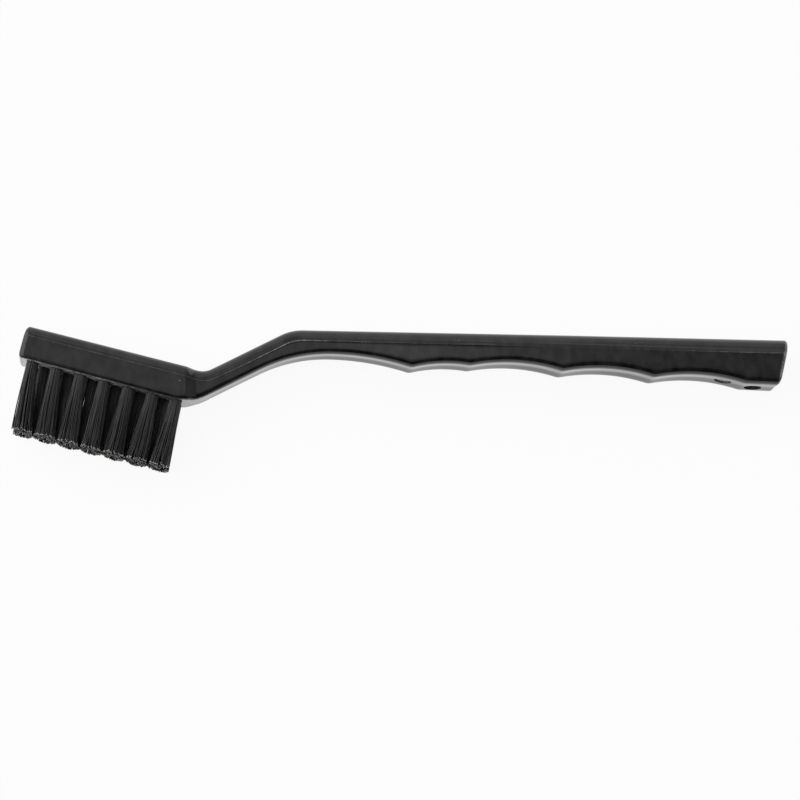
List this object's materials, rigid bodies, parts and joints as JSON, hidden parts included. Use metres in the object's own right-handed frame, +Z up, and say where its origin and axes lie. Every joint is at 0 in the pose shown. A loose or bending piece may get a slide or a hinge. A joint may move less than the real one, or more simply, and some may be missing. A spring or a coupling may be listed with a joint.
{
  "type": "anti-static brush",
  "caption": "Slim hand brush with a black moulded handle, a tilted toothbrush-like head and rows of stiff trimmed bristle tufts, for sweeping dust off circuit boards.",
  "frame": {"origin": "under the middle of the whole brush, on the surface that its side lies on", "axes": "+X along the brush towards the handle end, +Y towards the back, away from the bristles, +Z up across the width"},
  "size_m": [0.1756, 0.0326, 0.011],
  "materials": {
    "handle_plastic": "black carbon-filled conductive plastic, moulded, satin with a slight shine at grazing angles",
    "bristle_filament": "black conductive nylon filament, drawn, satin along the strand, cut square at the tip",
    "anchor_wire": "flat rolled wire, cut to length and pressed in"
  },
  "bodies": {
    "root": {"handle": "handle_plastic", "left_row_tuft_1": "bristle_filament", "left_row_tuft_2": "bristle_filament", "left_row_tuft_3": "bristle_filament", "left_row_tuft_4": "bristle_filament", "left_row_tuft_5": "bristle_filament", "left_row_tuft_6": "bristle_filament", "left_row_tuft_7": "bristle_filament", "middle_row_tuft_1": "bristle_filament", "middle_row_tuft_2": "bristle_filament", "middle_row_tuft_3": "bristle_filament", "middle_row_tuft_4": "bristle_filament", "middle_row_tuft_5": "bristle_filament", "middle_row_tuft_6": "bristle_filament", "right_row_tuft_1": "bristle_filament", "right_row_tuft_2": "bristle_filament", "right_row_tuft_3": "bristle_filament", "right_row_tuft_4": "bristle_filament", "right_row_tuft_5": "bristle_filament", "right_row_tuft_6": "bristle_filament", "right_row_tuft_7": "bristle_filament", "left_row_anchor_1": "anchor_wire", "left_row_anchor_2": "anchor_wire", "left_row_anchor_3": "anchor_wire", "left_row_anchor_4": "anchor_wire", "left_row_anchor_5": "anchor_wire", "left_row_anchor_6": "anchor_wire", "left_row_anchor_7": "anchor_wire", "middle_row_anchor_1": "anchor_wire", "middle_row_anchor_2": "anchor_wire", "middle_row_anchor_3": "anchor_wire", "middle_row_anchor_4": "anchor_wire", "middle_row_anchor_5": "anchor_wire", "middle_row_anchor_6": "anchor_wire", "right_row_anchor_1": "anchor_wire", "right_row_anchor_2": "anchor_wire", "right_row_anchor_3": "anchor_wire", "right_row_anchor_4": "anchor_wire", "right_row_anchor_5": "anchor_wire", "right_row_anchor_6": "anchor_wire", "right_row_anchor_7": "anchor_wire"}
  },
  "joints": []
}
